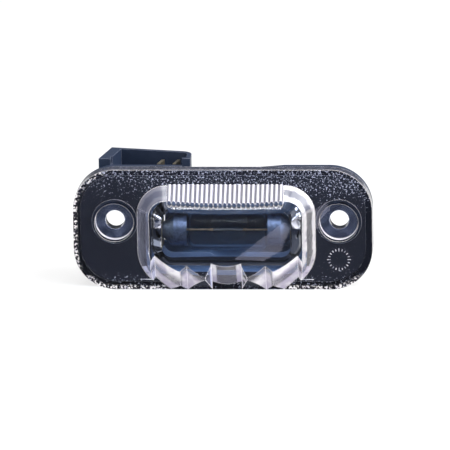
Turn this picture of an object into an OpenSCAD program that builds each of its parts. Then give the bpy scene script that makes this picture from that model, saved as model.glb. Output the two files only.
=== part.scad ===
// Number plate lamp: a clear lens moulding over a dark housing that holds a festoon bulb.
// The origin is midway between the two screw holes, in the plane where the gasket meets the body.
// +X runs along the lamp, +Z is up and the light leaves towards -Y.
// The bulb sets the bay, the bay sets the window and the screws, and these set the plate.

/* [Bulb] */
// Length of the festoon bulb over its tips
bulb_l = 36; // [31:0.5:44]
// Diameter of the bulb's glass
glass_d = 11; // [9:0.2:13]
// Thickness of the glass
glass_wall = 0.6; // [0.4:0.05:0.8]
// Diameter of the bulb's caps
cap_d = 8.5; // [7:0.1:8.8]
// Length of a cap with its tip
cap_l = 7.2; // [6.6:0.1:7.6]
// Length of the cone at a cap's end
cap_cone_l = 3.7; // [3:0.1:4.2]
// Thickness of a cap's wall
cap_wall = 0.4; // [0.3:0.05:0.5]
// How deep a cap's mouth is
cap_mouth = 2.6; // [2:0.1:2.8]
// Diameter of the flat at a cap's tip
tip_d = 3.2; // [2.4:0.1:3.6]
// Height of the bead of solder on a tip
solder_h = 0.4; // [0.2:0.05:0.6]
// Depth of the bulb's axis below the screws
bulb_drop = 3.5; // [2.5:0.1:4.5]
// Length of the filament
filament_l = 8; // [5:0.5:9]
// Diameter of the wound filament
filament_d = 0.8; // [0.6:0.1:1]
// Diameter of the lead wires
lead_d = 0.5; // [0.3:0.05:0.5]
// Length of the crimp that grips the filament's end
crimp_l = 0.8; // [0.5:0.1:1.2]

/* [Bulb bay] */
// Room between each end of the bulb and the bay's end wall
end_room = 2; // [1.7:0.1:4]
// Room between the glass and the bay's upper and lower walls
side_room = 4.5; // [4:0.1:6]
// Corner radius of the bulb bay
bay_r = 1.5; // [1:0.1:1.8]
// Wall round the bulb bay
bay_wall = 1.5; // [1.2:0.1:2]
// Thickness of the bay's floor
floor_t = 1.4; // [1.2:0.1:1.6]
// Room round the bulb's glass in the trough behind it
bulb_room = 0.7; // [0.4:0.1:0.9]
// Room round the middle of the glass in the round bowl behind it
bowl_room = 2.5; // [1.9:0.1:2.7]
// Wall of the bowl and the trough
bowl_wall = 1.2; // [1:0.1:1.4]
// How far the skirt reaches behind the bowl
skirt_over = 0.4; // [0.2:0.1:3]

/* [Lens window] */
// How far the window's foot reaches past the bay, at both ends and at the top
window_past = 3.8; // [3.4:0.1:3.9]
// Radius of the window's upper corners at its foot
window_top_r = 8; // [6:0.1:9]
// Radius of the window's lower corners at its foot
window_bottom_r = 11; // [8:0.1:12]
// How far the window stands in front of the plate
window_rise = 4.2; // [3.4:0.1:5]
// How far its sides lean in, for each millimetre of rise
window_lean = 1; // [0.7:0.05:1.1]
// Radius of the domed front face
dome_r = 240; // [100:5:300]
// Thickness of the front wall
window_wall = 2.3; // [1.8:0.1:2.8]
// Thickness of the window's ends at the foot
end_wall = 3; // [2.6:0.1:3.6]
// Thickness of the window's top at the foot
top_wall = 3.1; // [2.8:0.1:3.6]
// How far the hollow behind the window stops short of the bay's lower wall
sill_step = 0.9; // [0.4:0.1:1.4]
// Corner radius of the hollow, at its mouth
hollow_r = 6.5; // [5.5:0.1:7]

/* [Flutes] */
// Distance from the window's end to the middle of the first flute
flute_start = 8.9; // [8.5:0.1:12]
// Distance from one flute to the next
flute_pitch = 1.24; // [1:0.02:1.3]
// Radius of a flute
flute_r = 0.64; // [0.56:0.01:0.7]
// How far the flutes reach past the front face
flute_over = 0.5; // [0.2:0.1:0.8]

/* [Prism facets] */
// Half width of the middle facet
facet_1_half = 4; // [3:0.1:4.6]
// Height of its corners above the plate's lower edge
facet_1_up = 8.4; // [7.6:0.1:9]
// Gap between the middle facet and the second one
facet_gap_1 = 1.5; // [1:0.1:2]
// Step beside the middle facet's corners
facet_step = 0.6; // [0.4:0.1:1]
// Width of the second facet
facet_2_w = 5; // [4.4:0.1:5.6]
// Height of its inner end above the plate's lower edge
facet_2_low = 4.9; // [4.5:0.1:6]
// Height of its outer end above the plate's lower edge
facet_2_up = 8.2; // [7.4:0.1:9]
// Gap between the second facet and the outer one
facet_gap_2 = 1.9; // [1.4:0.1:2.4]
// Width of the outer facet
facet_3_w = 6.7; // [6:0.1:7.4]
// Height of its inner end above the plate's lower edge
facet_3_low = 6.8; // [6:0.1:7.4]
// Height of its outer end above the plate's lower edge
facet_3_up = 11.8; // [10.4:0.1:12.4]
// How deep the middle facet is scooped
scoop_middle = 0.85; // [0.3:0.05:1]
// How deep the other facets are scooped
scoop_side = 0.45; // [0.2:0.05:0.7]
// Fall of the window's edge beyond the outer facet, for each millimetre outwards
outer_fall = 1.4; // [1:0.1:2]
// Angle of the middle facet from the plate
facet_1_angle = 35; // [30:1:42]
// Angle of the other facets from the plate
facet_angle = 27; // [26:1:30]

/* [Screw seats] */
// Diameter of the screw holes
screw_hole_d = 5.2; // [4:0.1:6.4]
// Diameter of the sunk seat for the screw head
seat_d = 10.4; // [8.6:0.1:12]
// Depth of the sunk seat
seat_depth = 3.4; // [2:0.1:3.8]
// Thickness of the seat's floor
seat_floor_t = 1.6; // [1.2:0.1:1.8]
// Wall of the lens boss round the seat
boss_wall = 0.8; // [0.6:0.1:1.2]
// Wall of the housing round the lens boss
socket_wall = 0.85; // [0.6:0.05:1.2]
// Width of the gasket between the bay and the screw sockets
gasket_bridge = 0.9; // [0.8:0.1:2]

/* [Lens plate] */
// Width of the plate beyond the left seat
plate_left = 5.8; // [4.8:0.1:7]
// Width of the plate beyond the right seat
plate_right = 3.8; // [3.2:0.1:5]
// Height of the plate above the window
plate_brow = 4.3; // [3.6:0.1:5.2]
// Corner radius of the lens plate
plate_r = 11.3; // [9:0.1:13]
// Thickness of the lens plate at its rim
plate_t = 3.5; // [3:0.1:5]
// Depth of the shallow tray behind the plate
tray_d = 1.3; // [0.8:0.1:1.6]
// Width of the solid rim round the tray
rim_w = 1.8; // [1.4:0.1:2.2]

/* [Housing] */
// Thickness of the housing's flange
flange_t = 2; // [1.6:0.1:2.6]
// How deep the top edge of the flange is waisted
waist_depth = 1; // [0.4:0.1:1.4]
// Half length of the waist
waist_half = 21; // [15:1:25]
// How far the waist's middle lies to the left of the screws' midpoint
waist_left = 5.5; // [3:0.5:7]
// Radius of the locating ribs on the skirt
rib_r = 0.7; // [0.4:0.1:1]
// Distance of the locating ribs from the ends of the bay
rib_from_end = 6; // [4:0.5:9]
// Distance of the end ribs from the bay's upper and lower walls
rib_from_top = 4; // [3:0.5:6]

/* [Connector] */
// Length of the shroud's front
shroud_l = 24.6; // [21:0.2:28]
// Depth of the shroud at its right side
shroud_right_d = 7.55; // [7.2:0.05:9]
// Height of the shroud's rim above the plate's upper edge
shroud_over = 1; // [0.4:0.1:3]
// Angle by which the left side leans
shroud_turn = 12; // [8:1:14]
// Rounding of the rear right corner
shroud_r = 3.4; // [2.6:0.1:4]
// Thickness of the shroud's left side
shroud_left_wall = 3; // [2:0.1:4]
// Thickness of the shroud's other sides
shroud_wall = 1.2; // [1:0.1:1.3]
// Gap left for the body panel between the gasket and the shroud
panel_gap = 1.2; // [0.8:0.1:1.3]
// Depth of the notch in the shroud's front
notch_d = 2; // [1:0.1:3]
// Thickness of the webs under the shroud
web_t = 1.4; // [1:0.1:2]
// Height of the webs where they meet the skirt
web_h = 6; // [4:0.5:8]
// How far the webs stop short of the shroud's left side
web_short = 4; // [3:0.5:8]
// Width of a connector blade
blade_w = 4.8; // [4:0.1:5]
// Thickness of a connector blade
blade_t = 0.8; // [0.6:0.1:1]
// How far the blade tips lie below the shroud's rim
blade_sunk = 1.8; // [0.8:0.1:3]
// Distance between the two blades
blade_pitch = 4.2; // [3.6:0.1:5]
// Distance from the right-hand blade to the outside of the shroud
blade_room = 4; // [3.6:0.1:5]

/* [Contact strips] */
// Thickness of the strips
strip_t = 0.6; // [0.4:0.05:0.7]
// Width of the strip along the bay
strip_w = 3; // [2.4:0.1:3.4]
// Room between the strip and the bay's floor
strip_room = 0.3; // [0.2:0.05:0.5]
// How far a jaw reaches above and below the bulb's cap
jaw_over = 0.35; // [0.2:0.05:0.6]
// How far a jaw reaches in front of the bulb's axis
jaw_reach = 3.6; // [3:0.1:4]
// Play between the hole in a jaw and the cone of the bulb's cap
jaw_play = 0.1; // [0.05:0.01:0.2]
// Length of the flared lip on a jaw
lip_l = 1.4; // [0.8:0.1:1.6]
// Angle of the flared lip
lip_angle = 35; // [20:1:40]
// Diameter of the pegs that hold the long strip
peg_d = 1.6; // [1.2:0.1:1.8]
// Diameter of the pegs' flattened heads
peg_head_d = 2.5; // [2:0.1:2.8]
// Height of the pegs' heads
peg_head_h = 0.4; // [0.3:0.05:0.6]
// Distance of the pegs from the two ends of the long strip
peg_from_end = 5.5; // [4:0.5:8]

/* [Seals and fits] */
// Thickness of the gasket between the housing and the body
gasket_t = 1.5; // [1:0.1:2]
// How far the gasket's edge lies inside the plate's edge
gasket_inset = 0.6; // [0.3:0.1:1]
// Width of the seal between the lens and the housing
seal_w = 1.45; // [1.2:0.05:1.7]
// Height of that seal
seal_h = 1.5; // [1:0.1:1.7]
// Gap between the bay and the seal
seal_land = 1; // [0.8:0.1:1.3]
// Width of the lip outside the seal
seal_lip = 0.5; // [0.4:0.1:1]
// Clearance round pieces that slide into each other
fit = 0.15; // [0.1:0.01:0.2]
// Clearance in front of the housing's pad, and over the contact strip on its pegs
slack = 0.1; // [0.05:0.01:0.15]
// Clearance between the gasket and what it goes round
gasket_fit = 0.3; // [0.2:0.05:0.4]

/* [Hidden] */
$fn = 64;
// Overlap of a cutting solid past the face that it cuts, and of solids that are joined
past = 1;
bite = 0.5;
// Sides of the largest circles and of the dome
fine = 720;
dome_fine = 300;

// Planes along Y, from the seating plane forwards
flange_back = -gasket_t;
flange_front = flange_back - flange_t;
plate_front = flange_front - plate_t;
tray_floor = flange_front - tray_d;
pad_front = tray_floor + slack;
window_front = plate_front - window_rise;
groove_floor = tray_floor + seal_h;
seat_back = plate_front + seat_depth + seat_floor_t;

// The bay, and the trough and bowl behind the bulb
bay_l = bulb_l + 2 * end_room;
bay_h = glass_d + 2 * side_room;
bay_top = bay_h / 2 - bulb_drop;
bay_bottom = -bay_h / 2 - bulb_drop;
trough_half = glass_d / 2 + bulb_room;
trough_d = trough_half;
bowl_r = glass_d / 2 + bowl_room;
skirt_d = bowl_r + bowl_wall + skirt_over;

// The window
window_l = bay_l + 2 * window_past;
window_top = bay_top + window_past;
hollow_l = window_l - 2 * end_wall;
hollow_top = window_top - top_wall;
hollow_bottom = bay_bottom + sill_step;

// The screws, whose sockets stand beside the bay
boss_r = seat_d / 2 + boss_wall;
socket_r = boss_r + fit;
screw_x = bay_l / 2 + bay_wall + gasket_bridge + 2 * gasket_fit + socket_wall + socket_r;
screw_xs = [-screw_x, screw_x];

// The plate, which covers the screws, the window and the seal
plate_top = window_top + plate_brow;
plate_bottom = bay_bottom - seal_land - seal_w - seal_lip - fit - rim_w;
plate_h = plate_top - plate_bottom;
plate_l = 2 * screw_x + seat_d + plate_left + plate_right;
plate_middle = [(plate_right - plate_left) / 2, (plate_top + plate_bottom) / 2];

// The bulb's inner ends, and the jaws and blades that follow them
tip_r = tip_d / 2;
neck_r = cap_d / 2 - cap_wall - fit;
cap_start = bulb_l / 2 - cap_l;
jaw_x = bulb_l / 2 - strip_t;
jaw_half = cap_d / 2 + jaw_over;
strip_y = floor_t + strip_room;
left_blade_x = -jaw_x - strip_t - slack;
blade_xs = [left_blade_x + blade_pitch, left_blade_x];
peg_xs = [blade_xs[0] + peg_from_end, jaw_x - peg_from_end];

// The shroud, which stands round the blades
shroud_front = panel_gap;
shroud_floor_t = bay_wall;
shroud_right = blade_xs[0] + blade_room;
shroud_left = shroud_right - shroud_l;
shroud_d = shroud_l * sin(shroud_turn) + shroud_right_d * cos(shroud_turn);
shroud_top = plate_top + shroud_over;
blade_y = shroud_front + shroud_wall + fit + blade_w / 2;
blade_top = shroud_top - blade_sunk;

// Extrudes an outline drawn in X and Z from one plane along Y to another
module slab(from, to)
    translate([0, to, 0])
        rotate([90, 0, 0])
            linear_extrude(to - from)
                children();

// A cylinder along Y between two planes
module post(x, z, r, from, to)
    translate([x, to, z])
        rotate([90, 0, 0])
            cylinder(h = to - from, r = r);

// A rectangle with round corners
module round_rect(l, h, r) {
    square([l - 2 * r, h], center = true);
    square([l, h - 2 * r], center = true);
    for (x = [-1, 1], y = [-1, 1])
        translate([x * (l / 2 - r), y * (h / 2 - r)])
            circle(r);
}

// The lamp's outline, drawn in by the given amount
module plate_outline(inset = 0)
    translate(plate_middle)
        round_rect(plate_l - 2 * inset, plate_h - 2 * inset, plate_r - inset);

// The same outline with the long shallow waist in its top edge
module waisted_outline(inset = 0) {
    waist_r = (waist_half * waist_half + waist_depth * waist_depth) / (2 * waist_depth);
    difference() {
        plate_outline(inset);
        translate([-waist_left, plate_top - waist_depth - inset + waist_r])
            circle(waist_r, $fn = fine);
    }
}

// The bay's outline, grown by the given amount
module bay_outline(grow = 0)
    translate([0, -bulb_drop])
        round_rect(bay_l + 2 * grow, bay_h + 2 * grow, bay_r + grow);

// A form that stands on a plane and leans in on every side by the same amount.
// Its corners are cones and its sides are flat.
module leaning_form(half, top, bottom, top_r, bottom_r, foot, head, lean) {
    rise = foot - head;
    inset = rise * lean;
    middle = (top - top_r + bottom + bottom_r) / 2;
    translate([0, 0, bottom + bottom_r])
        linear_extrude(top - top_r - bottom - bottom_r)
            polygon([[-half, foot], [half, foot], [half - inset, head], [inset - half, head]]);
    for (side = [[top, top_r, -1], [bottom, bottom_r, 1]]) {
        edge = side[0];
        r = side[1];
        inwards = side[2];
        translate([r - half, 0, 0])
            rotate([90, 0, 90])
                linear_extrude(2 * (half - r))
                    polygon([[foot, middle], [foot, edge], [head, edge + inwards * inset], [head, middle]]);
        for (x = [-1, 1])
            translate([x * (half - r), foot, edge + inwards * r])
                rotate([90, 0, 0])
                    cylinder(h = rise, r1 = r, r2 = r - inset);
    }
}

// The ball whose near side is the domed front face, moved back by the given amount
module dome(back = 0)
    translate([0, window_front + dome_r, -bulb_drop])
        sphere(dome_r - back, $fn = dome_fine);

// Outside of the raised window
module window_form()
    intersection() {
        leaning_form(window_l / 2, window_top, plate_bottom, window_top_r, window_bottom_r,
            plate_front, window_front, window_lean);
        dome();
    }

// Hollow behind the window
module window_hollow()
    intersection() {
        leaning_form(hollow_l / 2, hollow_top, hollow_bottom, hollow_r, hollow_r,
            tray_floor + past, window_front, hollow_lean());
        dome(window_wall);
    }

// The hollow's sides lean so that its corners come to a small round at the front
function hollow_lean() = (hollow_r - bite) / (tray_floor + past - window_front);

// Half round flutes side by side, which run down the window's upper wall
module flutes() {
    run = window_rise * sqrt(1 + window_lean * window_lean);
    each_side = floor((window_l / 2 - flute_start) / flute_pitch);
    intersection() {
        translate([0, plate_front, window_top])
            rotate([atan2(1, -window_lean), 0, 0])
                linear_extrude(run + flute_over + past)
                    for (i = [-each_side : each_side])
                        translate([i * flute_pitch, 0])
                            circle(flute_r, $fn = 32);
        dome(-flute_over);
    }
}

// Points of a shallow scoop from a to b, which sags below the straight line
function scoop(a, b, sag, steps = 10) = [
    for (i = [0 : steps])
        let (t = i / steps)
            a + (b - a) * t - [0, 4 * sag * t * (1 - t)]
];

// Where the facets' ends lie, from the middle outwards
facet_2_start = facet_1_half + facet_gap_1;
facet_2_end = facet_2_start + facet_2_w;
facet_3_start = facet_2_end + facet_gap_2;
facet_3_end = facet_3_start + facet_3_w;

// The lines where the middle facet, and the facets on its right, leave the front face,
// with heights above the plate's lower edge
function middle_line() =
    scoop([-facet_1_half, facet_1_up], [facet_1_half, facet_1_up], scoop_middle, 16);
function side_line() = concat(
    [[facet_1_half, facet_1_up - facet_step]],
    scoop([facet_2_start, facet_2_low], [facet_2_end, facet_2_up], scoop_side),
    scoop([facet_3_start, facet_3_low], [facet_3_end, facet_3_up], scoop_side)
);

// Sweeps what lies below a line on the front face back and down to the plate. Seen along
// that sweep, a height on the front face is shortened by the sine of the angle. Its foot may
// reach under what is swept beside it, so that the two overlap.
module facet_sweep(line, angle, under = 0) {
    shrink = sin(angle);
    low = 2 * plate_bottom * shrink;
    top = [for (p = line) [p[0], (p[1] + plate_bottom) * shrink]];
    foot = [[line[len(line) - 1][0], low], [line[0][0] - under, low]];
    translate([0, window_front, 0])
        rotate([angle - 180, 0, 0])
            mirror([0, 1, 0])
                translate([0, 0, -plate_h])
                    linear_extrude(2 * plate_h)
                        polygon(concat(top, foot));
}

// What lies in front of the plate
module before_plate() {
    reach = window_l / 2 + past;
    translate([-reach, window_front - past, 2 * plate_bottom])
        cube([2 * reach, plate_front - window_front + past, -3 * plate_bottom]);
}

// What the middle facet takes from the window, down to the plate's front
module middle_facet()
    intersection() {
        facet_sweep(middle_line(), facet_1_angle);
        before_plate();
    }

// What the second and outer facets on the right take
module side_facets() {
    reach = window_l / 2 + past;
    outer = [reach, facet_3_up - (reach - facet_3_end) * outer_fall];
    intersection() {
        facet_sweep(concat(side_line(), [outer]), facet_angle, past);
        before_plate();
    }
}

// Clear moulding: plate with a tray behind it, sunk screw seats, raised window, flutes and prisms
module lens()
    color([0.86, 0.88, 0.94, 0.45])
        difference() {
            union() {
                difference() {
                    union() {
                        slab(plate_front, flange_front) plate_outline();
                        window_form();
                        flutes();
                    }
                    slab(tray_floor, flange_front + past) plate_outline(rim_w);
                    middle_facet();
                    side_facets();
                    mirror([1, 0, 0])
                        side_facets();
                }
                for (x = screw_xs)
                    post(x, 0, boss_r, plate_front, seat_back);
            }
            window_hollow();
            for (x = screw_xs) {
                post(x, 0, seat_d / 2, plate_front - past, plate_front + seat_depth);
                post(x, 0, screw_hole_d / 2, plate_front, seat_back + past);
            }
        }

// Rubber ring in the housing's groove, pressed against the back of the lens
module lens_seal()
    color("#16181c")
        slab(tray_floor, groove_floor)
            difference() {
                bay_outline(seal_land + seal_w);
                bay_outline(seal_land);
            }

// Outline of the shroud in X and Y, with every side moved in by its own wall
module shroud_outline(side_wall = 0, wall = 0) {
    lean = [sin(shroud_turn), cos(shroud_turn)];
    along = [cos(shroud_turn), -sin(shroud_turn)];
    front = shroud_front + wall;
    right = shroud_right - wall;
    r = shroud_r - wall;
    left_foot = [shroud_left + side_wall / lean[1] + wall * lean[0] / lean[1], front];
    back_left = [shroud_left, shroud_front] + (shroud_d - wall) * lean + side_wall * along;
    back_right = back_left + along * ((right - back_left[0]) / along[0]);
    // Centre of the rounded corner, a radius from the right side and from the back
    corner = [right - r, back_right[1] + r * tan(shroud_turn) - r / along[0]];
    polygon([
        left_foot, back_left, corner + r * lean, corner, corner + [r, 0], [right, front]
    ]);
    intersection() {
        translate(corner)
            circle(r);
        translate([corner[0], front])
            square([2 * r, shroud_d]);
    }
}

// Open box that takes the plug from above, with the notch in its front
module shroud() {
    base = bay_top;
    difference() {
        translate([0, 0, base])
            linear_extrude(shroud_top - base)
                shroud_outline();
        translate([0, 0, base + shroud_floor_t])
            linear_extrude(shroud_top)
                shroud_outline(shroud_left_wall, shroud_wall);
        translate([shroud_left + shroud_left_wall + fit, shroud_front - past, shroud_top - notch_d])
            cube([shroud_l - shroud_left_wall - 2 * shroud_wall, past + 2 * shroud_wall, shroud_top]);
    }
}

// Two webs that carry the overhanging end of the shroud
module shroud_webs() {
    foot = -bay_l / 2 - bay_wall + bite;
    end = shroud_left + web_short;
    for (y = [shroud_front, skirt_d - web_t])
        slab(y, y + web_t)
            polygon([[foot, bay_top + bite], [foot, bay_top - web_h], [end, bay_top], [end, bay_top + bite]]);
}

// Half round ribs along the skirt, which centre it in the panel's cut-out
module locating_ribs() {
    along = bay_l / 2 - rib_from_end;
    for (x = [-along, along])
        post(x, bay_bottom - bay_wall, rib_r, panel_gap, skirt_d);
    post(along, bay_top + bay_wall, rib_r, panel_gap, skirt_d);
    for (z = [bay_bottom + rib_from_top, bay_top - rib_from_top])
        post(bay_l / 2 + bay_wall, z, rib_r, panel_gap, skirt_d);
}

// Space behind the bulb: a trough for the caps with a round bowl for the glass
module bulb_trough() {
    slab(-past, trough_d)
        translate([0, -bulb_drop])
            round_rect(2 * jaw_x, 2 * trough_half, trough_half / 2);
    translate([0, 0, -bulb_drop])
        sphere(bowl_r);
}

// The plastic round that space, which closes the bay towards the back
module trough_shell() {
    slab(floor_t / 2, trough_d + bowl_wall)
        translate([0, -bulb_drop])
            square([bay_l + bay_wall, 2 * (trough_half + bowl_wall)], center = true);
    intersection() {
        translate([0, 0, -bulb_drop])
            sphere(bowl_r + bowl_wall);
        slab(floor_t / 2, bowl_r + 2 * bowl_wall)
            bay_outline();
    }
}

// Slots through which the jaws come forward and run up to the bay's top
module jaw_slots() {
    gap = strip_t + 2 * fit;
    for (side = [-1, 1])
        translate([side * (jaw_x + strip_t / 2) - gap / 2, 0, 0]) {
            translate([0, -past, -bulb_drop - jaw_half - fit])
                cube([gap, trough_d + bowl_wall + 2 * past, 2 * (jaw_half + fit)]);
            translate([0, floor_t, -bulb_drop])
                cube([gap, trough_d + bowl_wall, bay_h / 2]);
        }
    for (turn = [0, 180])
        rotate([0, 0, turn])
            translate([jaw_x, 0, -bulb_drop])
                rotate([0, 90, 0])
                    cylinder(h = strip_t + solder_h + bulb_room, r = tip_r + bulb_room);
}

// Pegs on the bay's top wall, with the heads that were melted over the long strip
module pegs()
    for (x = peg_xs)
        translate([x, strip_y + strip_w / 2, bay_top - strip_t - slack]) {
            cylinder(h = strip_t + slack + bite, d = peg_d, $fn = 32);
            translate([0, 0, -peg_head_h])
                cylinder(h = peg_head_h, d = peg_head_d, $fn = 32);
        }

// A solid the size of one blade, grown by the given amount, at its place and angle
module blade_form(x, low, high, grow = 0)
    translate([x, blade_y, low])
        rotate([0, 0, -shroud_turn])
            translate([-blade_t / 2 - grow, -blade_w / 2 - grow, 0])
                cube([blade_t + 2 * grow, blade_w + 2 * grow, high - low]);

// Dark moulding: flange, pad that fills the lens tray, bay, skirt, screw sockets and shroud
module housing()
    color("#1d2740") {
        difference() {
            union() {
                difference() {
                    union() {
                        slab(flange_front, flange_back) waisted_outline();
                        slab(pad_front, flange_front + past / 2) plate_outline(rim_w + fit);
                        slab(flange_front, skirt_d) bay_outline(bay_wall);
                        for (x = screw_xs)
                            post(x, 0, socket_r + socket_wall, flange_front, 0);
                    }
                    slab(pad_front - past, 0) bay_outline();
                    slab(floor_t, skirt_d + past) bay_outline();
                }
                trough_shell();
                shroud();
                shroud_webs();
                locating_ribs();
            }
            bulb_trough();
            jaw_slots();
            slab(pad_front - past, groove_floor)
                difference() {
                    bay_outline(seal_land + seal_w);
                    bay_outline(seal_land);
                }
            for (x = screw_xs) {
                post(x, 0, socket_r, pad_front - past, seat_back);
                post(x, 0, screw_hole_d / 2, pad_front, past);
            }
            for (x = blade_xs)
                blade_form(x, bay_top - past, bay_top + bay_wall + past, fit);
        }
        pegs();
    }

// Rubber gasket that seals the housing against the body panel
module body_gasket()
    color("#101113")
        slab(flange_back, 0)
            difference() {
                waisted_outline(gasket_inset);
                bay_outline(bay_wall + gasket_fit);
                for (x = screw_xs)
                    translate([x, 0])
                        circle(socket_r + socket_wall + gasket_fit);
            }

// One bulb jaw with its flared lip and the leg that runs up behind the bay's floor.
// It is drawn for the right-hand end.
module jaw() {
    difference() {
        translate([jaw_x, 0, 0])
            rotate([90, 0, 90])
                linear_extrude(strip_t)
                    polygon([
                        [-jaw_reach, -bulb_drop - jaw_half],
                        [strip_y + strip_w, -bulb_drop - jaw_half],
                        [strip_y + strip_w, bay_top],
                        [strip_y, bay_top],
                        [strip_y, -bulb_drop + jaw_half],
                        [-jaw_reach, -bulb_drop + jaw_half]
                    ]);
        translate([jaw_x - past, 0, -bulb_drop])
            rotate([0, 90, 0])
                cylinder(h = strip_t + 2 * past, r = tip_hole_r());
    }
    translate([jaw_x + strip_t, -jaw_reach, -bulb_drop - jaw_half])
        rotate([0, 0, lip_angle])
            translate([-strip_t, -lip_l, 0])
                cube([strip_t, lip_l, 2 * jaw_half]);
    // Round outside of the bend between the jaw and its lip
    intersection() {
        translate([jaw_x + strip_t, -jaw_reach, -bulb_drop - jaw_half])
            cylinder(h = 2 * jaw_half, r = strip_t, $fn = 32);
        translate([jaw_x, -jaw_reach - strip_t, -bulb_drop - jaw_half])
            cube([strip_t, strip_t + slack, 2 * jaw_half]);
    }
}

// Radius of the hole in a jaw, which the cone of the bulb's tip rests in
function tip_hole_r() = tip_r + strip_t * (cap_d / 2 - tip_r) / cap_cone_l + jaw_play;

// Part of a strip that lies along the bay's top wall, from one place on X to another
module rail(from, to)
    translate([from, strip_y, bay_top - strip_t])
        cube([to - from, strip_w, strip_t]);

// Short sprung strip: left jaw and left-hand blade
module contact_strip_left()
    color("#b9a36a") {
        mirror([1, 0, 0]) jaw();
        rail(blade_xs[1] - blade_t / 2, -jaw_x);
        blade_form(blade_xs[1], bay_top - strip_t, blade_top);
    }

// Long sprung strip: right jaw, rail along the bay and right-hand blade
module contact_strip_right()
    color("#b9a36a")
        difference() {
            union() {
                jaw();
                rail(blade_xs[0] - blade_t / 2, jaw_x + strip_t);
                blade_form(blade_xs[0], bay_top - strip_t, blade_top);
            }
            for (x = peg_xs)
                translate([x, strip_y + strip_w / 2, bay_top - strip_t - past])
                    cylinder(h = strip_t + 2 * past, d = peg_d + 2 * slack, $fn = 32);
        }

// Turns a profile, drawn as distance from the axis against place along it, about the bulb's axis
module turned()
    translate([0, 0, -bulb_drop])
        rotate([0, 90, 0])
            rotate_extrude($fn = 96)
                children();

// Points of the round shoulder from the glass down to its neck
function shoulder(r, neck, start, steps = 10) = [
    for (i = [0 : steps])
        let (a = 90 * i / steps)
            [neck + (r - neck) * cos(a), start + (r - neck) * sin(a)]
];

// The same points in the other order, and the same points on the other side of the middle
function backwards(points) = [for (i = [len(points) - 1 : -1 : 0]) points[i]];
function flipped(points) = [for (p = points) [p[0], -p[1]]];

// Thin glass tube with round shoulders, whose necks sit in the caps
module bulb_glass()
    color([0.9, 0.93, 0.96, 0.35]) {
        r = glass_d / 2;
        neck_in = neck_r - glass_wall;
        end = cap_start + cap_mouth - glass_wall / 2;
        straight = cap_start - (r - neck_r) - glass_wall / 2;
        outer = concat(shoulder(r, neck_r, straight), [[neck_r, end]]);
        inner = concat(shoulder(r - glass_wall, neck_in, straight), [[neck_in, end]]);
        turned()
            polygon(concat(outer, backwards(inner), flipped(inner), flipped(backwards(outer))));
    }

// Metal cap with a cone for a tip, drawn for the right-hand end
module bulb_cap() {
    tip = bulb_l / 2;
    bore_r = neck_r + fit;
    bore_end = cap_start + cap_mouth;
    turned()
        polygon([
            [bore_r, cap_start], [cap_d / 2, cap_start], [cap_d / 2, tip - cap_cone_l], [tip_r, tip],
            [0, tip], [0, bore_end], [bore_r, bore_end]
        ]);
}

module bulb_cap_left()
    color("silver")
        mirror([1, 0, 0])
            bulb_cap();

module bulb_cap_right()
    color("silver")
        bulb_cap();

// Envelope of the wound filament, along the bulb's axis
module bulb_filament()
    color("#8a8f96")
        translate([-filament_l / 2, 0, -bulb_drop])
            rotate([0, 90, 0])
                cylinder(h = filament_l, d = filament_d, $fn = 32);

// Straight lead wire from a cap to the filament, with the crimp that grips the filament's end
module filament_lead()
    translate([filament_l / 2, 0, -bulb_drop])
        rotate([0, 90, 0]) {
            cylinder(h = cap_start + cap_mouth - filament_l / 2, d = lead_d, $fn = 32);
            cylinder(h = crimp_l, d = filament_d, $fn = 32);
        }

// Bead of solder on the end of a cap
module solder_tip()
    translate([bulb_l / 2, 0, -bulb_drop])
        rotate([0, 90, 0])
            cylinder(h = solder_h, r1 = tip_r - fit, r2 = tip_r - fit - solder_h, $fn = 32);

module filament_lead_left()
    color("#9c8467")
        mirror([1, 0, 0])
            filament_lead();

module filament_lead_right()
    color("#9c8467")
        filament_lead();

module solder_tip_left()
    color("#a9abae")
        mirror([1, 0, 0])
            solder_tip();

module solder_tip_right()
    color("#a9abae")
        solder_tip();

lens();
lens_seal();
housing();
body_gasket();
contact_strip_left();
contact_strip_right();
bulb_glass();
bulb_cap_left();
bulb_cap_right();
bulb_filament();
filament_lead_left();
filament_lead_right();
solder_tip_left();
solder_tip_right();
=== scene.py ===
# %% [markdown]
# # A number plate lamp, dressed in Blender
#
# The lamp is small: a clear lens moulding, 80 mm long, clamped by two screws over a dark housing that
# holds one festoon bulb. Its pieces come from the imported model, already at their real size and place.
# This lesson gives each of them the finish that the real material has, paints some light and shade onto
# the lens, the housing and the bulb's caps, adds what is too fine for the solid model, and lights it as
# a small product is lit in a studio.
#
# Everything is in metres. X runs along the lamp, Z is up, and the light leaves towards minus Y.

# %% Load the imported lamp
import math

import bmesh
import bpy
from mathutils import Matrix, Quaternion, Vector


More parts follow.
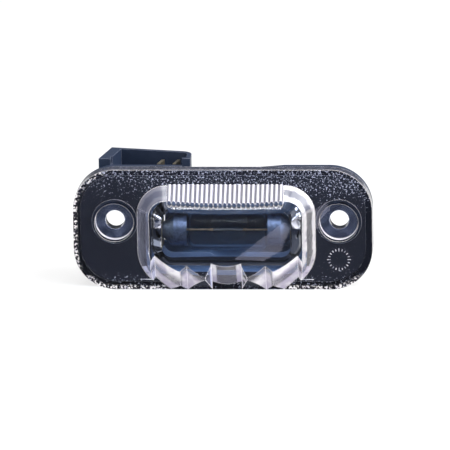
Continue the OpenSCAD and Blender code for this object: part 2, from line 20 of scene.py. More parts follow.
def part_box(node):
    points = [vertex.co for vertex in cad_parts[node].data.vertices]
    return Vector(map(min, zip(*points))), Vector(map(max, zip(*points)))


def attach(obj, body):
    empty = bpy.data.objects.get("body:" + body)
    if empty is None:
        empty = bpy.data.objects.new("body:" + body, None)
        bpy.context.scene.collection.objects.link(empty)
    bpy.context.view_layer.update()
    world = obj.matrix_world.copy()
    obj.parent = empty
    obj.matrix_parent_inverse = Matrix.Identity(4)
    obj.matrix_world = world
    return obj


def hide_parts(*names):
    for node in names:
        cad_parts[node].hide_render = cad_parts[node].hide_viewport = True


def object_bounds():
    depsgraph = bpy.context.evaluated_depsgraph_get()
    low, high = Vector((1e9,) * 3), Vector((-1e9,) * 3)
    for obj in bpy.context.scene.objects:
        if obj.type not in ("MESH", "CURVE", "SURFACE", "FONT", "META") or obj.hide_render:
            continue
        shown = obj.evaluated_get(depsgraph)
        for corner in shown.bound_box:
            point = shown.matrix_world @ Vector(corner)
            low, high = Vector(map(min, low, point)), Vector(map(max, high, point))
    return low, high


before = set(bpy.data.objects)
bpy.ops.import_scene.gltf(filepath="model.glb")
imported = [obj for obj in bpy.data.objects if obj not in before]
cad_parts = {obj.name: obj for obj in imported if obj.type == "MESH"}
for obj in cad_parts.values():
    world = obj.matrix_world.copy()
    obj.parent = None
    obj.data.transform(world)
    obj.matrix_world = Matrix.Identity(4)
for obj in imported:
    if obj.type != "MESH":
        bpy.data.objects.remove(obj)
cad_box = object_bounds()
MM = 0.001
print("nodes:", ", ".join(sorted(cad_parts)))
print("box in mm:", [round(v / MM, 1) for v in (cad_box[1] - cad_box[0])])

# %% [markdown]
# ## Measuring from the pieces
#
# A finish often has to know where it is on a piece: which face is a facet, where the plate's rim
# runs. The places are measured from the boxes of the pieces, so they follow the model.

# %% Planes and places, in millimetres
lens_low, lens_high = (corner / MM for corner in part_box("lens"))
bulb_low, bulb_high = (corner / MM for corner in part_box("bulb_glass"))
seal_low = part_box("lens_seal")[0] / MM
plate_middle = ((lens_low.x + lens_high.x) / 2, (lens_low.z + lens_high.z) / 2)
plate_half = ((lens_high.x - lens_low.x) / 2, (lens_high.z - lens_low.z) / 2)
plate_corner_r = 11.3
tray_floor_y = seal_low.y
plate_front_y = tray_floor_y - 2.2
flange_front_y = tray_floor_y + 1.3
bulb_z = (bulb_low.z + bulb_high.z) / 2
bay_half_x, bay_half_z = 20.0, 10.0
screw_x = 30.0
seat_r = 5.2
flute_pitch, flutes_half_x = 1.24, 15.5
facet_angles = (35, 27)
print("plate front at y", round(plate_front_y, 2), "and the window's front at", round(lens_low.y, 2))

# %% [markdown]
# ## Writing shader maths as sums
#
# A material is a graph of nodes, and long sums are hard to read as a graph. This small class holds
# one output socket and lets Python's own signs add the Math nodes, so that a mask can be written
# as `1 - edge * 0.5`. Its method `node` adds any other node: the settings go first, because a
# setting can change which sockets a node has.

# %% A socket that sums can be written on
class Wire:
    """One output socket of a material's graph."""

    def __init__(self, tree, socket=None):
        self.tree = tree
        self.socket = socket

    def node(self, kind, settings=None, inputs=None, output=0):
        """Adds a node and returns one of its outputs."""
        made = self.tree.nodes.new(kind)
        for name, value in (settings or {}).items():
            setattr(made, name, value)
        for name, value in (inputs or {}).items():
            socket = made.inputs[name]
            if isinstance(value, Wire):
                self.tree.links.new(value.socket, socket)
            elif socket.type == "RGBA":
                socket.default_value = (*value[:3], 1)
            else:
                socket.default_value = value
        return Wire(self.tree, made.outputs[output] if made.outputs else None)

    def maths(self, operation, *values):
        return self.node("ShaderNodeMath", {"operation": operation}, dict(enumerate(values)))

    def __add__(self, other):
        return self.maths("ADD", self, other)

    def __sub__(self, other):
        return self.maths("SUBTRACT", self, other)

    def __rsub__(self, other):
        return self.maths("SUBTRACT", other, self)

    def __mul__(self, other):
        return self.maths("MULTIPLY", self, other)

    def __truediv__(self, other):
        return self.maths("DIVIDE", self, other)

    def __pow__(self, other):
        return self.maths("POWER", self, other)

    def __abs__(self):
        return self.maths("ABSOLUTE", self)

    __radd__ = __add__
    __rmul__ = __mul__

    def least(self, other):
        return self.maths("MINIMUM", self, other)

    def most(self, other):
        return self.maths("MAXIMUM", self, other)

    def step(self, low, high):
        """0 below low and 1 above high, with a soft change between them."""
        settings = {"interpolation_type": "SMOOTHSTEP"}
        ends = {"Value": self, "From Min": low, "From Max": high, "To Min": 0.0, "To Max": 1.0}
        return self.node("ShaderNodeMapRange", settings, ends)

    def blend(self, first, second):
        """A colour that goes from first to second as this goes from 0 to 1."""
        return self.node("ShaderNodeMix", {"data_type": "RGBA"}, {0: self, 6: first, 7: second}, 2)

    def mix_shaders(self, first, second):
        """The first shader where this is 0 and the second where it is 1."""
        return self.node("ShaderNodeMixShader", None, {0: self, 1: first, 2: second})


print("a Wire turns", "1 - edge * 0.5", "into Math nodes")

# %% [markdown]
# ## Coordinates that every finish reads
#
# Object coordinates are in metres, and they stay fixed to the piece. Plastic grain is a fraction of
# a millimetre, so the graph works in millimetres: one Vector Math node scales the place, and its
# three parts come out by name.

# %% Start a material and measure places on it
def start_material(name):
    """An empty material and a loose wire to build its graph with."""
    material = bpy.data.materials.new(name)
    material.use_nodes = True
    material.node_tree.nodes.clear()
    return material, Wire(material.node_tree)


def place_in_mm(wire):
    """The place on the piece, in millimetres, as a vector and as its three parts."""
    coordinates = wire.node("ShaderNodeTexCoord", output="Object")
    place = wire.node("ShaderNodeVectorMath", {"operation": "SCALE"}, {0: coordinates, "Scale": 1 / MM})
    return place, parts_of(place)


def parts_of(vector):
    """The X, Y and Z parts of a vector."""
    return [vector.node("ShaderNodeSeparateXYZ", None, {0: vector}, part) for part in "XYZ"]


def grain(place, scale, detail=2.0, rough=0.5):
    """Soft noise from 0 to 1. Scale is in waves to the millimetre."""
    sockets = {"Vector": place, "Scale": scale, "Detail": detail, "Roughness": rough}
    return place.node("ShaderNodeTexNoise", {"noise_dimensions": "3D"}, sockets)


def bump(height, strength, depth_mm, normal=None):
    """A normal bent by the height."""
    sockets = {"Height": height, "Strength": strength, "Distance": depth_mm * MM}
    if normal is not None:
        sockets["Normal"] = normal
    return height.node("ShaderNodeBump", None, sockets)


def face_normal(wire):
    """The direction that a face really looks in, without smoothing or bumps."""
    return wire.node("ShaderNodeNewGeometry", output="True Normal")


def rounded_edges(wire, normal, radius_mm, low, high):
    """A normal that turns softly round each edge, and a mask of the edges."""
    rounded = wire.node("ShaderNodeBevel", {"samples": 4}, {"Radius": radius_mm * MM})
    turned = {0: rounded, 1: normal}
    turn = wire.node("ShaderNodeVectorMath", {"operation": "DOT_PRODUCT"}, turned, "Value")
    return rounded, (1 - turn).step(low, high)


def principled(wire, sockets):
    """The Principled shader, with these values and links on its sockets."""
    return wire.node("ShaderNodeBsdfPrincipled", None, sockets)


def finish_material(material, surface):
    """Joins the last shader to the material's output."""
    surface.node("ShaderNodeOutputMaterial", None, {"Surface": surface})
    print("material:", material.name, "with", len(material.node_tree.nodes), "nodes")
    return material


print("a graph works in millimetres: places are multiplied by", 1 / MM)

# %% [markdown]
# ## The dark moulding
#
# The housing is a satin, blue-black plastic. Its mould was spark eroded, which leaves a fine even
# grain, so the bump is small and dense. In front of the flange, behind the lens plate, the plastic is
# painted nearly black as painted shade. On the upper and lower parts of that pad the grain is coarser,
# and where a second noise has its highest peaks pale specks lift the colour: painted glints of crystals
# that catch the light. Inside the bay the plastic is painted a clearer blue, as painted light, and
# edges away from the pad get painted highlights.

# %% Blue-black satin plastic
def pad_painted_glints(x, z, sparkle, patches):
    """How dense the painted glints stand behind the lens plate, and the painted glints themselves: pale
    dots for crystals of the grain that catch the light.
    """
    upper = (z + patches * 6 + x * 0.05).step(5.0, 15.0)
    lower = (-1 * z + patches * 4).step(14.5, 18.0) * 0.6
    dense = upper.most(lower)
    return dense, (sparkle + dense * 0.11).step(0.68, 0.71) * dense.step(0.02, 0.1)


def painted_light_bay_mask(x, y, z, normal):
    """1 on the faces inside the bulb's bay, without the back of its floor."""
    wide = 1 - abs(x).step(bay_half_x - 0.1, bay_half_x + 0.1)
    high = 1 - abs(z - bulb_z).step(bay_half_z + 0.1, bay_half_z + 0.2)
    deep = y.step(tray_floor_y + 0.3, tray_floor_y + 0.4)
    faces_back = parts_of(normal)[1].step(0.3, 0.5)
    return wide * high * deep * (1 - faces_back)


def dark_moulding():
    material, wire = start_material("satin_blue_black")
    place, (x, y, z) = place_in_mm(wire)
    normal = face_normal(wire)
    round_normal, edges = rounded_edges(wire, normal, 0.22, 0.01, 0.1)
    cloud = grain(place, 0.35, 4.0)
    eroded = grain(place, 9.0, 2.0)
    sparkle = grain(place, 2.1, 3.0, 0.65)
    shaded_pad = (-1 * y).step(-flange_front_y - 0.2, -flange_front_y - 0.05)
    dense, painted_glints = pad_painted_glints(x, z, sparkle, grain(place, 0.22, 2.0))
    colour = cloud.blend((0.013, 0.021, 0.044), (0.023, 0.035, 0.068))
    # Painted shade: in front of the flange, behind the lens plate, the plastic is painted nearly black.
    colour = shaded_pad.blend(colour, (0.003, 0.0045, 0.012))
    # Painted light: the faces inside the bay are painted a clearer blue.
    colour = painted_light_bay_mask(x, y, z, normal).blend(colour, (0.07, 0.12, 0.225))
    # Painted glints: pale specks on that dark pad, where crystals of the grain would catch the light.
    colour = (painted_glints * shaded_pad * 0.8).blend(colour, (0.62, 0.63, 0.76))
    # Painted edge highlights: edges away from the pad are painted lighter.
    colour = (edges * (1 - shaded_pad) * (0.3 + cloud * 0.7)).blend(colour, (0.2, 0.22, 0.3))
    shader = principled(
        wire,
        {
            "Base Color": colour,
            "Roughness": 0.36 + cloud * 0.16,
            "Specular IOR Level": 0.3,
            "Normal": bump(eroded + sparkle * dense * shaded_pad * 3, 0.35, 0.03, round_normal),
        },
    )
    return finish_material(material, shader)


def dress(material, *names):
    """Puts a material in the slots of nodes of the solid model."""
    for name in names:
        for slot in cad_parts[name].material_slots:
            slot.material = material


dress(dark_moulding(), "housing")

# %% [markdown]
# ## The clear moulding
#
# The lens is polycarbonate. A real refracting shader bends what is behind it, which gives the screw
# seats and the window their depth. Light can't follow a refracting path to a lamp in a short
# render, so for shadow rays and for light that bounces off matt things the lens is simply open.
#
# The prism facets and the flutes look pale because they throw the light about. That light is painted: a
# matt, lilac-white shader is mixed in there as painted reflections, and it also paints highlights on
# the window's sides and corners, in the seat bores and along edges, glints near the rim, and shade
# between the flutes. The masks find those faces by their place and by the way that they face.

# %% Masks of the plate
def rim_depth(x, z):
    """How far a place lies inside the plate's outline, in millimetres."""
    across = abs(x - plate_middle[0]) - (plate_half[0] - plate_corner_r)
    up = abs(z - plate_middle[1]) - (plate_half[1] - plate_corner_r)
    beyond = (across.most(0) ** 2 + up.most(0) ** 2) ** 0.5
    return plate_corner_r - beyond - across.most(up).least(0)


def rim_masks(x, y, z, normal, fine):
    """The plate's side walls, the top one alone, and the painted glints near its edge, pale spots and
    short lines.
    """
    _, ny, nz = normal
    depth = rim_depth(x, z)
    at_front = (-1 * ny).step(0.9, 0.95)
    side = (1 - abs(ny).step(0.3, 0.5)) * (1 - depth.step(0.2, 0.4))
    side = side * (y - plate_front_y).step(0.1, 0.3)
    rim = (1 - depth.step(0.7, 1.5)) * at_front
    low_rim = (-1 * z - 14.0).step(0, 1.5)
    left_rim = (-1 * x - 38.5).step(0, 1.5)
    beside_middle = abs(x).step(5.0, 6.0)
    # Painted glints: pale spots on the low and left rim, pale lines above the left seat.
    blotches = rim * low_rim.most(left_rim) * fine.step(0.5, 0.58) * beside_middle
    above_left_seat = (-1 * x - 31.5).step(0, 2) * (z - 3.0).step(0, 2)
    rim_glint_streaks = rim * above_left_seat * fine.step(0.54, 0.6)
    # Two short painted highlights, pale legs, run down from the ends of the middle facet.
    leg = 1 - abs(abs(x - 0.3) - 4.9).step(0.25, 0.5)
    painted_legs = at_front * leg * (-1 * z - 15.2).step(0, 0.3)
    return side, side * nz.step(0.3, 0.7), blotches.most(rim_glint_streaks).most(painted_legs)


def seat_masks(x, y, z, ny):
    """The inner part of the bore's wall, and the floor of the two screw seats."""
    from_axis = ((abs(x) - screw_x) ** 2 + z ** 2) ** 0.5
    sunk = y - plate_front_y
    wall = (1 - abs(from_axis - seat_r).step(0.1, 0.2)) * (1 - abs(ny).step(0.2, 0.4))
    inside = 1 - from_axis.step(seat_r - 0.2, seat_r - 0.1)
    return wall * sunk.step(1.7, 2.2), inside * sunk.step(3.0, 3.2) * abs(ny).step(0.8, 0.9)


print("plate's half sizes in mm:", [round(v, 2) for v in plate_half])

# %% Masks of the window
def prism_mask(normal, angle):
    """1 on faces that run along the sweep of the facets at this angle from the plate."""
    turned = math.radians(angle)
    slope = abs(normal[1] * math.sin(turned) - normal[2] * math.cos(turned))
    return 1 - slope.step(0.03, 0.07)


def window_masks(x, y, z, normal):
    """The window's raised faces, each as a mask."""
    nx, ny, nz = normal
    raised = (-1 * y).step(-plate_front_y + 0.02, -plate_front_y + 0.1)
    swept = prism_mask(normal, facet_angles[0]).most(prism_mask(normal, facet_angles[1]))
    leaning = (-1 * ny).step(0.2, 0.35) * (1 - (-1 * ny).step(0.85, 0.92)) * raised
    beyond_flutes = abs(x).step(flutes_half_x - 0.05, flutes_half_x + 0.05)
    flutes = nz.step(0.15, 0.3) * (1 - beyond_flutes) * raised
    waves = abs(x.maths("FRACT", x / flute_pitch + 0.5) - 0.5) * 2
    return {
        "raised": raised,
        "facets": swept * raised * (-1 * z).step(4.5, 5.0),
        "flutes": flutes,
        # Painted shade falls on this mask: the gaps between the flutes are painted dark.
        "shaded_flute_gaps": flutes * waves.step(0.4, 0.7),
        "sides": leaning * abs(nx).step(0.4, 0.6),
        "corners": leaning * beyond_flutes * nz.step(0.05, 0.25),
    }


def facet_painted_light(x, inwards, cloud):
    """The painted light of the facets, which stands for the light that they throw about: thin in their
    hollows and dense along their crests.

    The middle facet ends about 4.5 mm from the middle, and the second about 12 mm from it.
    """
    middle = 1 - abs(x).step(4.2, 4.6)
    second = abs(x).step(4.9, 5.4) * (1 - abs(x).step(11.6, 12.4))
    outer = abs(x).step(11.8, 12.6)
    middle_painted_light = (0.16 + abs(x).step(2.3, 3.0) * 0.5) * middle
    second_painted_light = (0.12 + inwards.step(0.9, 2.2) * 0.6) * second
    outer_painted_light = (0.8 - inwards.step(1.5, 2.6) * 0.5 + inwards.step(3.0, 3.5) * 0.4) * outer
    return (middle_painted_light + second_painted_light + outer_painted_light).most(0.12) * (0.8 + cloud * 0.4)


print("flutes are", flute_pitch, "mm apart, and facets lie at", facet_angles, "degrees")

# %% Frost and colour of the lens
def lens_masks(x, y, z, normal, edges, fine):
    """Every mask of the lens, by name."""
    masks = window_masks(x, y, z, normal)
    masks["seat_wall"], masks["seat_floor"] = seat_masks(x, y, z, normal[1])
    masks["rim_side"], masks["top_side"], masks["blotches"] = rim_masks(x, y, z, normal, fine)
    masks["edges"] = edges
    # The upper faces and the right half get brighter painted highlights, as if lit from above and from
    # the right.
    masks["looks_up"] = normal[2].step(0.2, 0.5)
    masks["on_right"] = x.step(-2, 2)
    return masks


def lens_painted_light(masks, x, inwards, cloud, highlight_bands):
    """How much of the pale shader, which paints light and shade, is mixed into the clear plastic."""
    # Each layer is painted light: painted reflections on the facets and flutes, painted highlight bands
    # on the sides and corners, brighter on the right, a painted highlight ring in the seat bores, a
    # faint painted slate-blue sheen on the seat floors, painted glints along the rim and on the top
    # side, and painted edge highlights, brighter on the window and on faces that look up.
    layers = (
        masks["facets"] * facet_painted_light(x, inwards, cloud),
        masks["flutes"] * 0.9,
        masks["sides"] * (0.1 + (0.08 + masks["on_right"] * 0.24) * highlight_bands),
        masks["corners"] * 0.8,
        masks["seat_wall"] * 0.8,
        masks["seat_floor"] * (0.03 + cloud.step(0.35, 0.7) * 0.1),
        masks["blotches"] * 0.7,
        masks["top_side"] * 0.5,
        masks["edges"] * (0.6 + masks["raised"].most(masks["looks_up"]) * 0.38),
    )
    painted_light = layers[0]
    for layer in layers[1:]:
        painted_light = painted_light.most(layer)
    print("the lens has", len(layers), "layers of frost")
    return painted_light


def lens_colour(masks, inwards, cloud, fine, highlight_bands):
    """The colour of the painted light and shade, part by part. The painted edge highlights keep the
    palest one.
    """
    between_edges = 1 - masks["edges"]
    on_right = masks["on_right"]
    # Painted shading: the facets darken inwards, mixed with tone that differs at random.
    facet_shading_and_tone = (cloud * 0.8 + inwards * masks["facets"] * 0.06).step(0.3, 0.7)
    # Painted highlight bands on the corners, bright on the right and dark on the left.
    corner_highlight_bands = (highlight_bands * (0.15 + on_right * 0.85)).blend((0.09, 0.095, 0.14), (0.6, 0.59, 0.64))
    # Painted glints: pale specks on the plate's top side.
    top_side_glints = fine.step(0.55, 0.66).blend((0.035, 0.042, 0.07), (0.35, 0.35, 0.45))
    colour = (facet_shading_and_tone * between_edges).blend((0.97, 0.94, 0.96), (0.46, 0.42, 0.53))
    colour = (masks["flutes"] * between_edges).blend(colour, (0.45, 0.44, 0.48))
    # Painted shade: the left side is a dimmer, bluer grey than the right.
    colour = (masks["sides"] * (1 - on_right) * between_edges).blend(colour, (0.5, 0.51, 0.7))
    colour = (masks["corners"] * between_edges).blend(colour, corner_highlight_bands)
    colour = (masks["top_side"] * between_edges).blend(colour, top_side_glints)
    colour = masks["seat_floor"].blend(colour, (0.34, 0.4, 0.66))
    # Painted shade: the gaps between the flutes are dark.
    return masks["shaded_flute_gaps"].blend(colour, (0.1, 0.1, 0.14))


# %% Clear polycarbonate with pale prisms
def ray_is(wire, kind):
    """1 for one kind of ray, such as Camera or Shadow, and 0 for the others."""
    return wire.node("ShaderNodeLightPath", output=f"Is {kind} Ray")


def clear_moulding():
    material, wire = start_material("clear_polycarbonate")
    place, (x, y, z) = place_in_mm(wire)
    normal = face_normal(wire)
    round_normal, edges = rounded_edges(wire, normal, 0.26, 0.01, 0.07)
    cloud = grain(place, 0.5, 3.0)
    fine = grain(place, 1.6, 3.0)
    inwards = y - lens_low.y
    # Painted highlight bands, which run along the window's sides and corners.
    highlight_bands = abs(wire.maths("FRACT", inwards * 0.42 + cloud * 0.5) * 2 - 1).step(0.35, 0.85)
    masks = lens_masks(x, y, z, parts_of(normal), edges, fine)
    # The painted light is only seen from outside the lens.
    outside = 1 - wire.node("ShaderNodeNewGeometry", output="Backfacing")
    painted_light = lens_painted_light(masks, x, inwards, cloud, highlight_bands) * outside
    colour = lens_colour(masks, inwards, cloud, fine, highlight_bands)
    bent = bump(grain(place, 0.8, 2.0), 0.05, 0.05, round_normal)
    clear = principled(
        wire,
        {
            # Painted shade: the plate's side walls are tinted dark.
            "Base Color": masks["rim_side"].blend((0.93, 0.95, 1.0), (0.08, 0.1, 0.17)),
            "Roughness": 0.02,
            "IOR": 1.5,
            "Transmission Weight": 1.0,
            "Normal": bent,
        },
    )
    # The pale shader that paints the light and shade of the masks.
    pale = principled(wire, {"Base Color": colour, "Roughness": 0.3, "Normal": bent})
    solid = painted_light.mix_shaders(clear, pale)
    see_through = wire.node("ShaderNodeBsdfTransparent", None, {"Color": (0.9, 0.92, 0.96)})
    unbent = ray_is(wire, "Shadow").most(ray_is(wire, "Diffuse"))
    surface = (unbent * (1 - painted_light * 0.6)).mix_shaders(solid, see_through)
    return finish_material(material, surface)


dress(clear_moulding(), "lens")

# %% [markdown]
# ## Rubber
#
# The seal and the gasket are black rubber. Rubber is matt, and it is never quite even: a low cloud
# of noise moves its roughness, and a fine one pits its surface.

# %% Black rubber for the seal and the gasket
def black_rubber():
    material, wire = start_material("black_rubber")
    place, _ = place_in_mm(wire)
    cloud = grain(place, 0.4, 3.0)
    shader = principled(
        wire,
        {
            "Base Color": cloud.blend((0.010, 0.012, 0.017), (0.022, 0.025, 0.034)),
            "Roughness": 0.62 + cloud * 0.2,
            "Normal": bump(grain(place, 6.0, 3.0), 0.4, 0.04),
        },
    )
    return finish_material(material, shader)


dress(black_rubber(), "lens_seal", "body_gasket")

# %% [markdown]
# ## Metals
#
# The contact strips are stamped from tinned brass, which dulls to a warm grey with darker blooms.
# The bulb's caps are nickel plated and satin; their colour is painted a dark blue-grey, as painted
# shade from the dark bay. The wires are drawn, and the solder is dull tin. One function makes them all:
# a metal needs a colour, a colour for its stains and a roughness.

# %% One recipe for the five metals
def metal(name, clean, stained, roughness, stain_scale):
    material, wire = start_material(name)
    place, _ = place_in_mm(wire)
    cloud = grain(place, stain_scale, 5.0, 0.6)
    stain = cloud.step(0.42, 0.68)
    shader = principled(
        wire,
        {
            "Base Color": stain.blend(clean, stained),
            "Metallic": 1.0,
            "Roughness": roughness + stain * 0.18,
            "Normal": bump(grain(place, 12.0, 2.0), 0.2, 0.01),
        },
    )
    return finish_material(material, shader)


brass = metal("tarnished_tinned_brass", (0.58, 0.54, 0.44), (0.36, 0.29, 0.18), 0.32, 0.5)
# Painted shade: the nickel is given a dark blue-grey colour, as in the shade of the dark bay.
shaded_nickel = metal("shaded_nickel_plate", (0.11, 0.15, 0.24), (0.07, 0.09, 0.14), 0.42, 0.7)
coppered = metal("coppered_wire", (0.46, 0.36, 0.27), (0.25, 0.2, 0.17), 0.4, 2.0)
tin = metal("dull_tin", (0.55, 0.55, 0.57), (0.36, 0.36, 0.38), 0.45, 1.5)
dress(brass, "contact_strip_left", "contact_strip_right")
dress(shaded_nickel, "bulb_cap_left", "bulb_cap_right")
dress(coppered, "filament_lead_left", "filament_lead_right")
dress(tin, "solder_tip_left", "solder_tip_right")

# %% [markdown]
# ## The bulb's glass
#
# The glass is under a millimetre thick, so it bends almost nothing. It is seen only by what it
# mirrors, most of all near its edges, and that is what a Fresnel factor between an open shader and
# a glossy one gives, without the noise of two refracting walls.

# %% Thin clear glass
def thin_glass():
    material, wire = start_material("thin_clear_glass")
    place, _ = place_in_mm(wire)
    smear = grain(place, 0.3, 4.0).step(0.45, 0.75)
    mirror = principled(
        wire,
        {"Base Color": (0.8, 0.84, 0.9, 1), "Metallic": 1.0, "Roughness": 0.04 + smear * 0.12},
    )
    open_glass = wire.node("ShaderNodeBsdfTransparent", None, {"Color": (0.95, 0.97, 0.98, 1)})
    edge = wire.node("ShaderNodeFresnel", None, {"IOR": 1.2})
    return finish_material(material, (edge * 0.55).mix_shaders(open_glass, mirror))


dress(thin_glass(), "bulb_glass")

# %% [markdown]
# ## The wound filament
#
# In the solid model the filament is a plain rod. The real one is a fine coil of tungsten wire. A
# coil is a small circle that is spun round an axis while it moves along it: the spin operator does
# both, a step at a time.

# %% Keep a mesh as an object
def keep_mesh(mesh, name, smooth=True, unit=MM, place=(0, 0, 0)):
    """Makes an object of a bmesh that was built in millimetres, with its place in the mesh."""
    bmesh.ops.scale(mesh, verts=mesh.verts, vec=(unit, unit, unit))
    bmesh.ops.translate(mesh, verts=mesh.verts, vec=Vector(place) * unit)
    for face in mesh.faces:
        face.smooth = smooth
    data = bpy.data.meshes.new(name)
    mesh.to_mesh(data)
    mesh.free()
    piece = bpy.data.objects.new(name, data)
    bpy.context.scene.collection.objects.link(piece)
    print(name, "has", len(data.polygons), "faces")
    return piece


print("meshes are built in millimetres and kept at", MM, "of that size")

# %% Wind the filament
def wind_filament(turns=30, wire_r=0.07, steps_a_turn=14, sides=6):
    low, high = (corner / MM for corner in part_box("bulb_filament"))
    coil_r = (high.z - low.z) / 2 - wire_r
    length = high.x - low.x - 2 * wire_r
    steps = turns * steps_a_turn
    mesh = bmesh.new()
    bmesh.ops.create_circle(mesh, cap_ends=False, radius=wire_r, segments=sides)
    bmesh.ops.translate(mesh, verts=mesh.verts, vec=(-length / 2, coil_r, 0))
    bmesh.ops.spin(
        mesh,
        geom=mesh.verts[:] + mesh.edges[:],
        cent=(0, 0, 0),
        axis=(1, 0, 0),
        dvec=(length / steps, 0, 0),
        angle=2 * math.pi * turns,
        steps=steps,
        use_duplicate=False,
    )
    open_ends = [edge for edge in mesh.edges if edge.is_boundary]
    bmesh.ops.holes_fill(mesh, edges=open_ends, sides=sides)
    bmesh.ops.recalc_face_normals(mesh, faces=mesh.faces)
    middle = (0, (low.y + high.y) / 2, (low.z + high.z) / 2)
    return keep_mesh(mesh, "wound_filament", place=middle)


filament = wind_filament()
filament.data.materials.append(metal("drawn_tungsten", (0.33, 0.33, 0.35), (0.2, 0.2, 0.22), 0.38, 3.0))
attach(filament, "root")
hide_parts("bulb_filament")

# %% [markdown]
# ## Raised marks on the plate
#
# Below the right screw seat the mould leaves a small dial: short raised strokes on a circle, like
# the face of a clock without numbers. Each stroke is a thin bar, made from a cube and turned about
# the dial's middle. Two fine ridges run outwards from the ends of the facets. All of these marks
# stand less than a tenth of a millimetre above the plate, so they are left to the scene.

# %% Dial of ticks and two ridges
mark_y = plate_front_y - 0.02


def turn_about(axis, degrees):
    return Matrix.Rotation(math.radians(degrees), 3, axis)


def bevel_edges(mesh, offset=0.03):
    """Breaks every sharp edge, so that it catches a line of light."""
    bmesh.ops.bevel(
        mesh, geom=mesh.edges[:], offset=offset, segments=1, profile=0.5, affect="EDGES", material=-1
    )


def dial_of_ticks(middle=(30.0, -10.1), radius=2.7, count=20):
    mesh = bmesh.new()
    for i in range(count):
        made = bmesh.ops.create_cube(mesh, size=1)["verts"]
        length = 0.9 if i % 5 == 0 else 0.55
        bmesh.ops.scale(mesh, verts=made, vec=(0.2, 0.12, length))
        bmesh.ops.translate(mesh, verts=made, vec=(0, 0, radius))
        bmesh.ops.rotate(mesh, verts=made, cent=(0, 0, 0), matrix=turn_about("Y", 360 * i / count))
    bevel_edges(mesh)
    bmesh.ops.translate(mesh, verts=mesh.verts, vec=(middle[0], mark_y, middle[1]))
    return keep_mesh(mesh, "dial_of_ticks", smooth=False)


def sill_ridges(level=-15.6, start=19.6, length=3.6):
    mesh = bmesh.new()
    for side in (-1, 1):
        made = bmesh.ops.create_cube(mesh, size=1)["verts"]
        bmesh.ops.scale(mesh, verts=made, vec=(length, 0.12, 0.16))
        bmesh.ops.translate(mesh, verts=made, vec=(side * (start + length / 2), mark_y, level))
    bevel_edges(mesh)
    return keep_mesh(mesh, "sill_ridges", smooth=False)


def tick_finish():
    material, wire = start_material("frosted_ticks")
    place, _ = place_in_mm(wire)
    cloud = grain(place, 1.2, 2.0)
    shader = principled(
        wire,
        {
            "Base Color": cloud.step(0.3, 0.7).blend((0.22, 0.23, 0.3), (0.8, 0.79, 0.84)),
            "Roughness": 0.4,
            "Normal": bump(grain(place, 6.0), 0.3, 0.02),
        },
    )
    return finish_material(material, shader)


frosted = tick_finish()
for piece in (dial_of_ticks(), sill_ridges()):
    piece.data.materials.append(frosted)
    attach(piece, "root")

# %% [markdown]
# ## The camera
#
# The lamp is seen from 15 degrees above and 4 degrees to its right, from two metres away. The
# camera is rolled by one degree, which levels the line between the two screw holes. In the frame
# of 450 by 450 pixels a millimetre on the plate is 3.75 pixels, and the distance and this scale
# give the lens.

# %% Camera
FRAME_PX = 450
PX_A_MM = 3.75
distance_mm = 2000.0
azimuth, elevation, roll = math.radians(4), math.radians(15), math.radians(-1)
aim_mm = Vector((-0.33, plate_front_y, -0.57))
level_part = math.cos(elevation)
towards_camera = Vector(
    (math.sin(azimuth) * level_part, -math.cos(azimuth) * level_part, math.sin(elevation))
)
camera_data = bpy.data.cameras.new("camera")
camera = bpy.data.objects.new("camera", camera_data)
bpy.context.scene.collection.objects.link(camera)
camera.location = (aim_mm + towards_camera * distance_mm) * MM
level_view = (-towards_camera).to_track_quat("-Z", "Y")
camera.rotation_euler = (level_view @ Quaternion((0, 0, 1), roll)).to_euler()
camera_data.sensor_width = 36.0
camera_data.lens = PX_A_MM * distance_mm / FRAME_PX * camera_data.sensor_width
camera_data.clip_start = 0.01
bpy.context.scene.camera = camera
print("lens", round(camera_data.lens, 1), "mm at", distance_mm, "mm")

# %% [markdown]
# ## The studio
#
# The floor is white and keeps a soft shadow. It is one large sheet, which shows white to the
# camera, to mirrors and to glass, and lights the lamp only as a pale floor would. Clear plastic
# mirrors whatever is in front of it. So one dark card lies on the floor and another stands before
# the lamp, seen only in mirrors and through glass: they keep the mirror image dark, and the depth
# of the plastic shows. The sheets that lie flat are a tenth of a millimetre apart, so that no two
# of them share a plane.

# %% Floor and dark cards
FLOOR_GLOW = 0.72
SHEET_GAP = 0.0001
floor_z = cad_box[0].z


def sheet_on_stage(name, size, place, turn=0.0):
    """A flat sheet, in metres, for the stage."""
    mesh = bmesh.new()
    bmesh.ops.create_grid(mesh, x_segments=1, y_segments=1, size=0.5)
    bmesh.ops.scale(mesh, verts=mesh.verts, vec=(size[0], size[1], 1))
    bmesh.ops.rotate(mesh, verts=mesh.verts, cent=(0, 0, 0), matrix=turn_about("X", turn))
    sheet = keep_mesh(mesh, name, unit=1, place=place)
    return sheet


def polished_rays(wire):
    """1 for rays that come from a mirror or through glass."""
    return ray_is(wire, "Glossy").most(ray_is(wire, "Transmission"))


def floor_finish():
    material, wire = start_material("white_floor")
    place, _ = place_in_mm(wire)
    cloud = grain(place, 0.01, 2.0)
    colour = cloud.blend((0.80, 0.80, 0.80), (0.82, 0.82, 0.82))
    matt = principled(wire, {"Base Color": colour, "Roughness": 0.9, "Specular IOR Level": 0.1})
    glow = wire.node("ShaderNodeEmission", None, {"Color": (1, 1, 1), "Strength": 1.0})
    seen = ray_is(wire, "Camera").most(polished_rays(wire))
    return finish_material(material, (seen * FLOOR_GLOW).mix_shaders(matt, glow))


def dark_finish():
    material, wire = start_material("dark_card")
    place, _ = place_in_mm(wire)
    colour = grain(place, 0.02, 2.0).blend((0.02, 0.022, 0.03), (0.03, 0.032, 0.04))
    return finish_material(material, principled(wire, {"Base Color": colour, "Roughness": 0.9}))


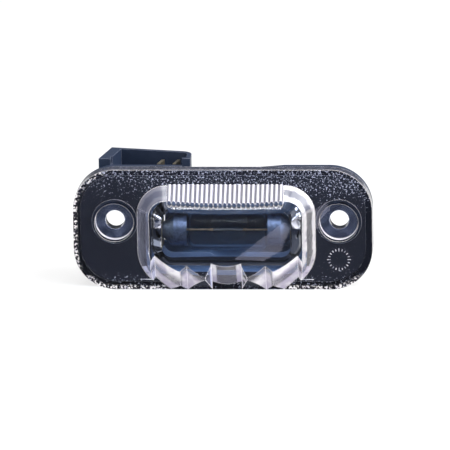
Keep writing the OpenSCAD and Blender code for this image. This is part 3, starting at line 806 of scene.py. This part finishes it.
def mirrors_only(sheet):
    """The sheet shows in mirrors and through glass, and lights nothing."""
    sheet.visible_camera = False
    sheet.visible_diffuse = False
    sheet.visible_shadow = False


floor = sheet_on_stage("floor", (6, 6), (0, 0, floor_z - 2 * SHEET_GAP))
floor.data.materials.append(floor_finish())
card_low = sheet_on_stage("card_low", (0.7, 0.62), (0, -0.298, floor_z - SHEET_GAP))
card_front = sheet_on_stage("card_front", (0.8, 0.35), (0, -0.55, 0.14), 90)
dark_card = dark_finish()
for sheet in (card_low, card_front):
    sheet.data.materials.append(dark_card)
    mirrors_only(sheet)

# %% [markdown]
# A small card on the floor is bright. The lens's front face mirrors it as one slanted pale patch,
# which tells the eye that the face is glossy and slightly domed.

# %% Bright card
def bright_finish():
    material, wire = start_material("bright_card")
    place, _ = place_in_mm(wire)
    colour = grain(place, 0.08, 3.0).step(0.35, 0.65).blend((0.6, 0.6, 0.78), (0.8, 0.76, 0.92))
    glow = principled(
        wire,
        {
            "Base Color": (0, 0, 0),
            "Roughness": 0.9,
            "Specular IOR Level": 0.0,
            "Emission Color": colour,
            "Emission Strength": 3.2,
        },
    )
    return finish_material(material, glow)


def bright_card(corners=((0.8, -40.6), (21.9, -98), (23, -82.5), (17.3, -49.8), (10.7, -38.2))):
    mesh = bmesh.new()
    level = (floor_z + SHEET_GAP) / MM
    mesh.faces.new([mesh.verts.new((x, y, level)) for x, y in corners])
    sheet = keep_mesh(mesh, "bright_card")
    sheet.data.materials.append(bright_finish())
    mirrors_only(sheet)
    sheet.visible_transmission = False


bright_card()

# %% [markdown]
# The world is white to the camera and grey as a light. Mirrors and glass see more of it: white
# behind the lamp, where rays pass through the screw holes, pale above and to the right, and nearly
# black elsewhere.

# %% World and lamps
def studio_world():
    world = bpy.data.worlds.new("studio")
    bpy.context.scene.world = world
    world.use_nodes = True
    world.node_tree.nodes.clear()
    wire = Wire(world.node_tree)
    dx, dy, dz = parts_of(wire.node("ShaderNodeTexCoord", output="Generated"))
    behind = dy.step(0.2, 0.6)
    above = dz.step(0.35, 0.8) * 0.6
    right = dx.step(0.6, 0.85) * 0.5
    around = above.most(right).most(0.04)
    seen_behind = behind * (ray_is(wire, "Transmission") + ray_is(wire, "Glossy") * 0.15)
    polished = polished_rays(wire)
    as_light = (1 - polished) * 0.5
    strength = (polished * around.most(seen_behind) + as_light).most(ray_is(wire, "Camera"))
    background = wire.node("ShaderNodeBackground", None, {"Color": (1, 1, 1), "Strength": strength})
    background.node("ShaderNodeOutputWorld", None, {"Surface": background})
    print("world: white to the camera, soft grey as a light")


studio_world()


def soft_lamp(name, place, size, watts):
    """A rectangular softbox that looks at the lamp."""
    data = bpy.data.lights.new(name, "AREA")
    data.shape = "RECTANGLE"
    data.size, data.size_y = size
    data.energy = watts
    lamp = bpy.data.objects.new(name, data)
    bpy.context.scene.collection.objects.link(lamp)
    lamp.location = place
    lamp.rotation_euler = (-Vector(place)).to_track_quat("-Z", "Y").to_euler()
    print(name, watts, "W")


soft_lamp("overhead_softbox", (-0.05, -0.25, 0.8), (0.4, 0.25), 4.5)
soft_lamp("corner_softbox", (0.42, -0.24, 0.76), (0.45, 0.3), 5.0)
soft_lamp("right_softbox", (0.75, -0.2, 0.45), (0.35, 0.5), 9.0)
soft_lamp("left_fill", (-0.7, -0.5, 0.25), (0.3, 0.3), 1.2)

# %% [markdown]
# ## Colour
#
# The Standard view shows a colour as it is written.

# %% View settings
bpy.context.scene.view_settings.view_transform = "Standard"
